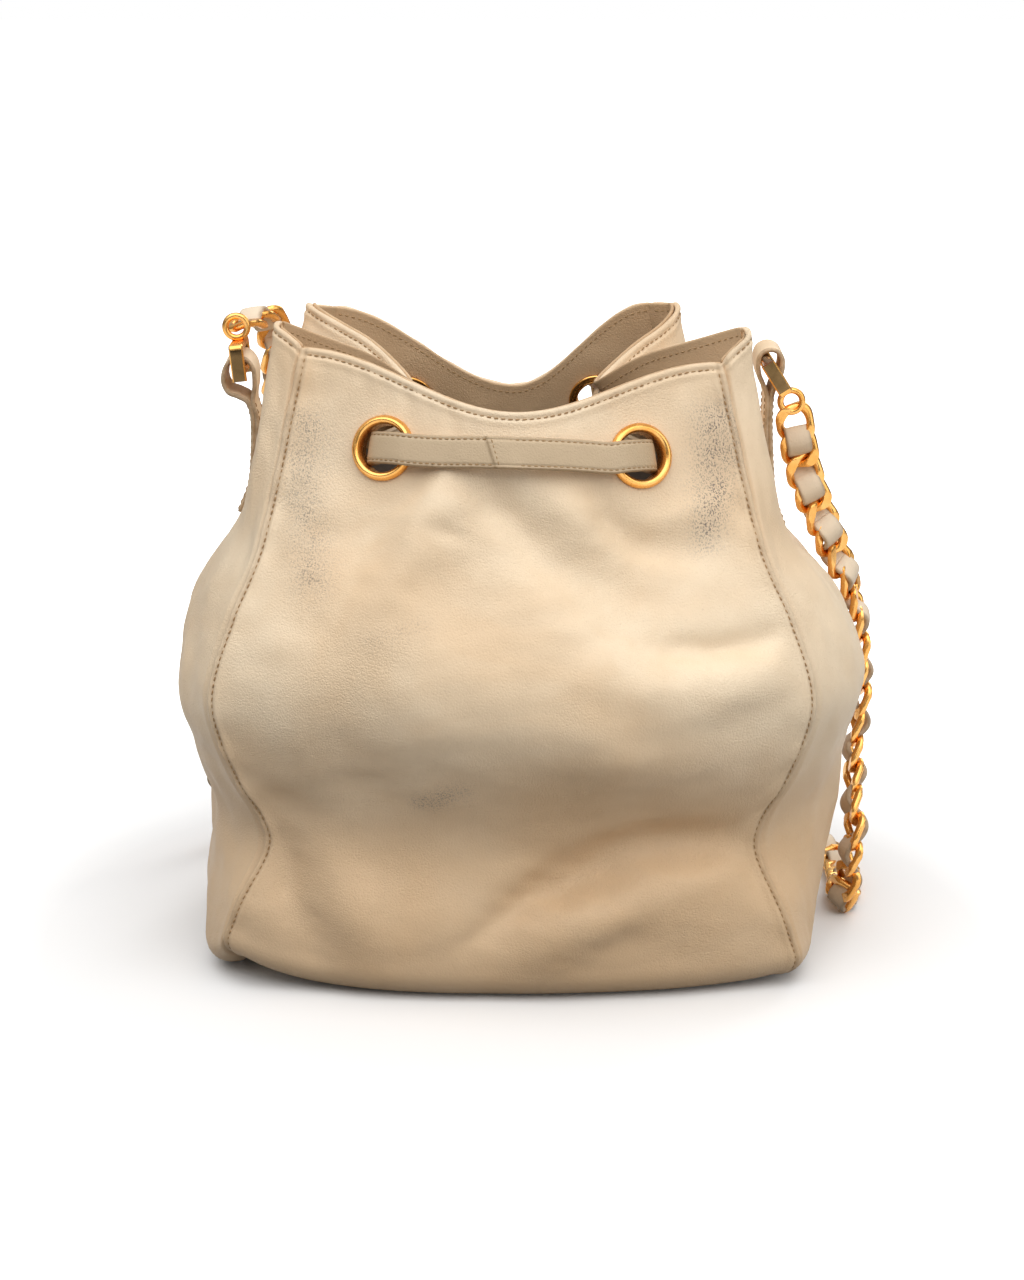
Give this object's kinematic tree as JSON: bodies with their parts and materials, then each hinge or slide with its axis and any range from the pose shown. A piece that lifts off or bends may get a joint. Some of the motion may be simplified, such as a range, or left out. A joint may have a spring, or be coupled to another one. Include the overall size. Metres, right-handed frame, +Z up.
{
  "type": "bucket bag",
  "caption": "Soft leather drawstring bucket bag with folded-in side gussets, ring eyelets, tassel pulls and a lace-threaded curb chain strap on metal side loops.",
  "frame": {"origin": "centre of the flat base, on the surface the bag stands on", "axes": "+X to the bag's right as seen from its front, +Y to the back, +Z up"},
  "size_m": [0.2365, 0.1999, 0.2147],
  "materials": {
    "leather": "smooth soft lambskin, light beige, fine grain, slight sheen",
    "lining": "smooth grey-beige lining leather",
    "board": "stiffener board",
    "gold_metal": "polished yellow-gold plating"
  },
  "bodies": {
    "bag": {"front_panel": "leather", "back_panel": "leather", "gusset_left": "leather", "gusset_right": "leather", "lining_front": "lining", "lining_back": "lining", "lining_left": "lining", "lining_right": "lining", "base_panel": "leather", "base_board": "board", "lining_base": "lining", "eyelet_front_left": "gold_metal", "eyelet_washer_front_left": "gold_metal", "eyelet_front_right": "gold_metal", "eyelet_washer_front_right": "gold_metal", "eyelet_back_left": "gold_metal", "eyelet_washer_back_left": "gold_metal", "eyelet_back_right": "gold_metal", "eyelet_washer_back_right": "gold_metal", "drawstring_left": "leather", "drawstring_right": "leather", "strap_tab_left": "leather", "strap_tab_right": "leather"},
    "loop_right": {"strap_loop_right": "gold_metal"},
    "strap_right_1": {"chain_right_01": "gold_metal", "chain_right_02": "gold_metal"},
    "strap_right_2": {"chain_right_03": "gold_metal"},
    "strap_right_3": {"chain_right_04": "gold_metal", "chain_right_05": "gold_metal", "chain_right_06": "gold_metal"},
    "strap_right_4": {"chain_right_07": "gold_metal"},
    "strap_right_5": {"chain_right_08": "gold_metal", "chain_right_09": "gold_metal"},
    "strap_right_6": {"chain_right_10": "gold_metal", "chain_right_11": "gold_metal"},
    "strap_right_7": {"chain_right_12": "gold_metal", "chain_right_13": "gold_metal"},
    "loop_left": {"strap_loop_left": "gold_metal"},
    "strap_left_1": {"chain_left_01": "gold_metal"},
    "strap_left_2": {"chain_left_02": "gold_metal", "chain_left_03": "gold_metal", "chain_left_04": "gold_metal"},
    "strap_left_3": {"chain_left_05": "gold_metal", "chain_left_06": "gold_metal", "chain_left_07": "gold_metal", "chain_left_08": "gold_metal"},
    "strap_left_4": {"chain_left_09": "gold_metal"},
    "strap_left_5": {"chain_left_10": "gold_metal", "chain_left_11": "gold_metal"},
    "strap_left_6": {"chain_left_12": "gold_metal", "chain_left_13": "gold_metal"},
    "pull_left": {"drawstring_pull_left": "leather"},
    "tassel_left": {"drawstring_tail_left": "leather", "tassel_cap_left": "leather", "tassel_fringe_left": "leather"},
    "pull_right": {"drawstring_pull_right": "leather"},
    "tassel_right": {"drawstring_tail_right": "leather", "tassel_cap_right": "leather", "tassel_fringe_right": "leather"}
  },
  "joints": [
    {"name": "strap_lift", "type": "hinge", "parent": "bag", "child": "loop_right", "pos_m": [0.084, 0, 0.196], "axis": [0, -1, 0], "range_deg": [0, 155]},
    {"name": "bend_right_1", "type": "hinge", "parent": "loop_right", "child": "strap_right_1", "pos_m": [0.0919, 0, 0.18384], "axis": [-0.2894, -0.4618, -0.8384], "range_deg": [-6, 32.8]},
    {"name": "bend_right_2", "type": "hinge", "parent": "strap_right_1", "child": "strap_right_2", "pos_m": [0.10828, 0.01607, 0.1331], "axis": [0.3245, 0.3238, -0.8887], "range_deg": [-6, 115.8]},
    {"name": "bend_right_3", "type": "hinge", "parent": "strap_right_2", "child": "strap_right_3", "pos_m": [0.11865, 0.02455, 0.10853], "axis": [0.5613, -0.2555, -0.7872], "range_deg": [-6, 76]},
    {"name": "bend_right_4", "type": "hinge", "parent": "strap_right_3", "child": "strap_right_4", "pos_m": [0.11826, 0.0065, 0.02982], "axis": [-0.9274, -0.114, -0.3563], "range_deg": [-6, 39.1]},
    {"name": "bend_right_5", "type": "hinge", "parent": "strap_right_4", "child": "strap_right_5", "pos_m": [0.11609, 0.01481, 0.00327], "axis": [-0.6626, 0.6338, -0.399], "range_deg": [-6, 103.8]},
    {"name": "bend_right_6", "type": "hinge", "parent": "strap_right_5", "child": "strap_right_6", "pos_m": [0.11741, 0.07038, 0.00299], "axis": [-0.0361, 0.0682, -0.997], "range_deg": [-6, 55.7]},
    {"name": "bend_right_7", "type": "hinge", "parent": "strap_right_6", "child": "strap_right_7", "pos_m": [0.07719, 0.10637, 0.003], "axis": [-0.2296, -0.6023, -0.7645], "range_deg": [-6, 59.2]},
    {"name": "loop_left_swing", "type": "hinge", "parent": "bag", "child": "loop_left", "pos_m": [-0.0885, 0, 0.194], "axis": [0, 1, 0], "range_deg": [-6, 20]},
    {"name": "bend_left_1", "type": "hinge", "parent": "loop_left", "child": "strap_left_1", "pos_m": [-0.09002, 0, 0.20842], "axis": [0.9587, -0.2339, 0.162], "range_deg": [-6, 101.9]},
    {"name": "bend_left_2", "type": "hinge", "parent": "strap_left_1", "child": "strap_left_2", "pos_m": [-0.08145, 0.02653, 0.20653], "axis": [0.8612, -0.4826, -0.1593], "range_deg": [-6, 72.1]},
    {"name": "bend_left_3", "type": "hinge", "parent": "strap_left_2", "child": "strap_left_3", "pos_m": [-0.09284, 0.0621, 0.13253], "axis": [0.631, 0.2151, -0.7454], "range_deg": [-6, 27.1]},
    {"name": "bend_left_4", "type": "hinge", "parent": "strap_left_3", "child": "strap_left_4", "pos_m": [-0.10892, 0.08086, 0.02505], "axis": [-0.3325, 0.9353, -0.1209], "range_deg": [-6, 50.2]},
    {"name": "bend_left_5", "type": "hinge", "parent": "strap_left_4", "child": "strap_left_5", "pos_m": [-0.09535, 0.09263, 0.00368], "axis": [0.1876, 0.9669, 0.1731], "range_deg": [-6, 65.8]},
    {"name": "bend_left_6", "type": "hinge", "parent": "strap_left_5", "child": "strap_left_6", "pos_m": [-0.0406, 0.10331, 0.00299], "axis": [0.1121, -0.97, 0.2157], "range_deg": [-6, 45]},
    {"name": "drawstring_pull_left", "type": "slide", "parent": "bag", "child": "pull_left", "axis": [-0.1, 0.9526, 0.2873], "range_m": [0, 0.02]},
    {"name": "tassel_swing_left", "type": "hinge", "parent": "pull_left", "child": "tassel_left", "pos_m": [-0.0388, 0.06235, 0.18082], "axis": [0.9945, 0.1012, -0.0279], "range_deg": [0, 40]},
    {"name": "drawstring_pull_right", "type": "slide", "parent": "bag", "child": "pull_right", "axis": [0.103, 0.9516, 0.2897], "range_m": [0, 0.02]},
    {"name": "tassel_swing_right", "type": "hinge", "parent": "pull_right", "child": "tassel_right", "pos_m": [0.03195, 0.06233, 0.18138], "axis": [0.9836, -0.1353, 0.1195], "range_deg": [0, 40]}
  ],
  "couplings": [
    {"joint": "bend_right_1", "follows": "strap_lift", "ratio": 0.17308},
    {"joint": "bend_right_2", "follows": "strap_lift", "ratio": 0.70867},
    {"joint": "bend_right_3", "follows": "strap_lift", "ratio": 0.45165},
    {"joint": "bend_right_4", "follows": "strap_lift", "ratio": 0.21329},
    {"joint": "bend_right_5", "follows": "strap_lift", "ratio": 0.63106},
    {"joint": "bend_right_6", "follows": "strap_lift", "ratio": 0.32044},
    {"joint": "bend_right_7", "follows": "strap_lift", "ratio": 0.34337},
    {"joint": "loop_left_swing", "follows": "strap_lift", "ratio": 0.090323},
    {"joint": "bend_left_1", "follows": "strap_lift", "ratio": 0.61894},
    {"joint": "bend_left_2", "follows": "strap_lift", "ratio": 0.4262},
    {"joint": "bend_left_3", "follows": "strap_lift", "ratio": 0.13635},
    {"joint": "bend_left_4", "follows": "strap_lift", "ratio": 0.28516},
    {"joint": "bend_left_5", "follows": "strap_lift", "ratio": 0.38558},
    {"joint": "bend_left_6", "follows": "strap_lift", "ratio": 0.25151}
  ]
}
